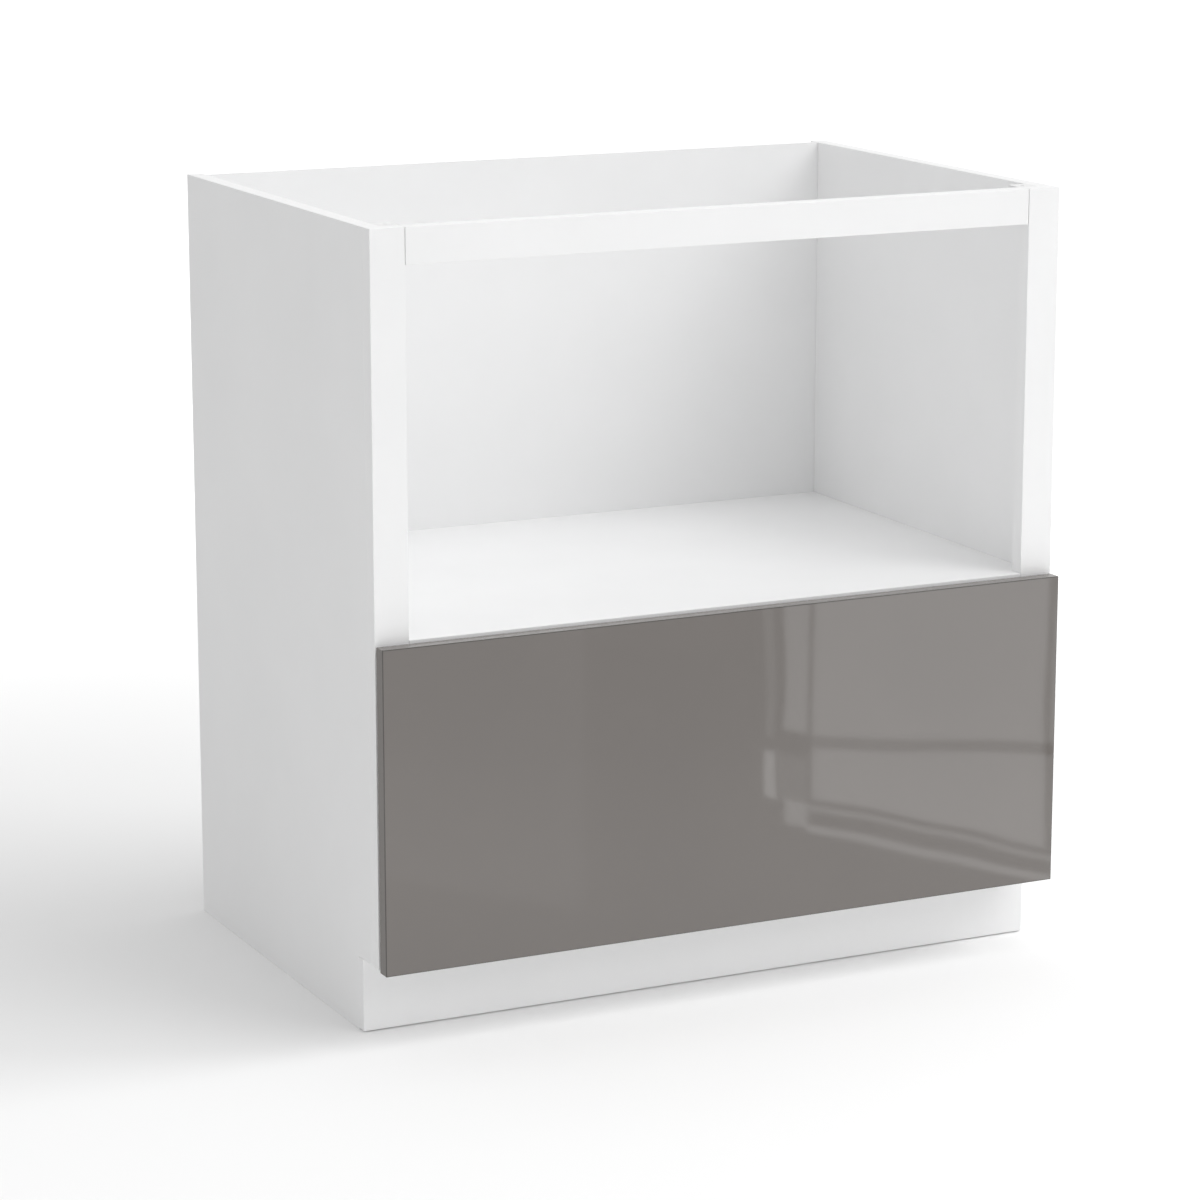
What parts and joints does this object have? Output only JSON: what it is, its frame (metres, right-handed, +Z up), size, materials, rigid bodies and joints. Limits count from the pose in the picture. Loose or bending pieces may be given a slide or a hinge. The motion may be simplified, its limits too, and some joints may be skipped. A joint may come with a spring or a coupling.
{
  "type": "microwave base cabinet",
  "caption": "Open-topped base cabinet with a microwave niche above a deep handleless push-to-open drawer on full-extension ball-bearing runners, over a recessed plinth.",
  "frame": {"origin": "on the floor, under the middle of the cabinet's bounding box", "axes": "+X to the right as seen from the front, +Y to the back, +Z up; the drawer opens towards -Y"},
  "size_m": [0.8, 0.5386, 0.845],
  "materials": {
    "white_board": "white melamine-faced board, satin",
    "grey_front": "warm grey lacquered board, high gloss",
    "drawer_board": "white melamine-faced board, satin",
    "runner_steel": "zinc-plated rolled steel",
    "cage_steel": "stamped steel strip",
    "ball_steel": "polished steel balls",
    "bracket_white": "white powder coat",
    "fitting_plastic": "light grey moulded plastic",
    "plunger_plastic": "grey moulded plastic",
    "dowel_wood": "beech, fluted",
    "cam_zinc": "die-cast zinc and steel"
  },
  "bodies": {
    "carcass": {"side_panel_left": "white_board", "stile_left": "white_board", "corner_bracket_left": "bracket_white", "plinth_bracket_left": "fitting_plastic", "spacer_batten_left": "white_board", "runner_cabinet_member_left": "runner_steel", "catch_housing_left": "fitting_plastic", "side_panel_right": "white_board", "stile_right": "white_board", "corner_bracket_right": "bracket_white", "plinth_bracket_right": "fitting_plastic", "spacer_batten_right": "white_board", "runner_cabinet_member_right": "runner_steel", "catch_housing_right": "fitting_plastic", "top_rail": "white_board", "bottom_panel": "white_board", "microwave_shelf": "white_board", "back_panel": "white_board", "plinth_board": "white_board", "dowels": "dowel_wood", "cam_locks": "cam_zinc", "cam_bolts": "cam_zinc"},
    "drawer": {"drawer_front": "grey_front", "drawer_box_front": "drawer_board", "drawer_box_back": "drawer_board", "drawer_bottom": "drawer_board", "drawer_side_left": "drawer_board", "runner_drawer_member_left": "runner_steel", "drawer_side_right": "drawer_board", "runner_drawer_member_right": "runner_steel"},
    "runner_middle_left": {"runner_middle_member_left": "runner_steel"},
    "outer_cage_left": {"runner_outer_cage_left": "cage_steel", "runner_outer_balls_left": "ball_steel"},
    "inner_cage_left": {"runner_inner_cage_left": "cage_steel", "runner_inner_balls_left": "ball_steel"},
    "plunger_left": {"catch_plunger_left": "plunger_plastic"},
    "runner_middle_right": {"runner_middle_member_right": "runner_steel"},
    "outer_cage_right": {"runner_outer_cage_right": "cage_steel", "runner_outer_balls_right": "ball_steel"},
    "inner_cage_right": {"runner_inner_cage_right": "cage_steel", "runner_inner_balls_right": "ball_steel"},
    "plunger_right": {"catch_plunger_right": "plunger_plastic"}
  },
  "joints": [
    {"name": "drawer_slide", "type": "slide", "parent": "carcass", "child": "drawer", "axis": [0, -1, 0], "range_m": [0, 0.45]},
    {"name": "runner_middle_slide_left", "type": "slide", "parent": "carcass", "child": "runner_middle_left", "axis": [0, -1, 0], "range_m": [0, 0.225]},
    {"name": "outer_cage_slide_left", "type": "slide", "parent": "carcass", "child": "outer_cage_left", "axis": [0, -1, 0], "range_m": [0, 0.1125]},
    {"name": "inner_cage_slide_left", "type": "slide", "parent": "carcass", "child": "inner_cage_left", "axis": [0, -1, 0], "range_m": [0, 0.3375]},
    {"name": "plunger_press_left", "type": "slide", "parent": "carcass", "child": "plunger_left", "axis": [0, 1, 0], "range_m": [0, 0.002], "stiffness_N_per_m": 1500, "springref_m": -0.002},
    {"name": "runner_middle_slide_right", "type": "slide", "parent": "carcass", "child": "runner_middle_right", "axis": [0, -1, 0], "range_m": [0, 0.225]},
    {"name": "outer_cage_slide_right", "type": "slide", "parent": "carcass", "child": "outer_cage_right", "axis": [0, -1, 0], "range_m": [0, 0.1125]},
    {"name": "inner_cage_slide_right", "type": "slide", "parent": "carcass", "child": "inner_cage_right", "axis": [0, -1, 0], "range_m": [0, 0.3375]},
    {"name": "plunger_press_right", "type": "slide", "parent": "carcass", "child": "plunger_right", "axis": [0, 1, 0], "range_m": [0, 0.002], "stiffness_N_per_m": 1500, "springref_m": -0.002}
  ],
  "couplings": [
    {"joint": "runner_middle_slide_left", "follows": "drawer_slide", "ratio": 0.5},
    {"joint": "outer_cage_slide_left", "follows": "drawer_slide", "ratio": 0.25},
    {"joint": "inner_cage_slide_left", "follows": "drawer_slide", "ratio": 0.75},
    {"joint": "runner_middle_slide_right", "follows": "drawer_slide", "ratio": 0.5},
    {"joint": "outer_cage_slide_right", "follows": "drawer_slide", "ratio": 0.25},
    {"joint": "inner_cage_slide_right", "follows": "drawer_slide", "ratio": 0.75}
  ]
}
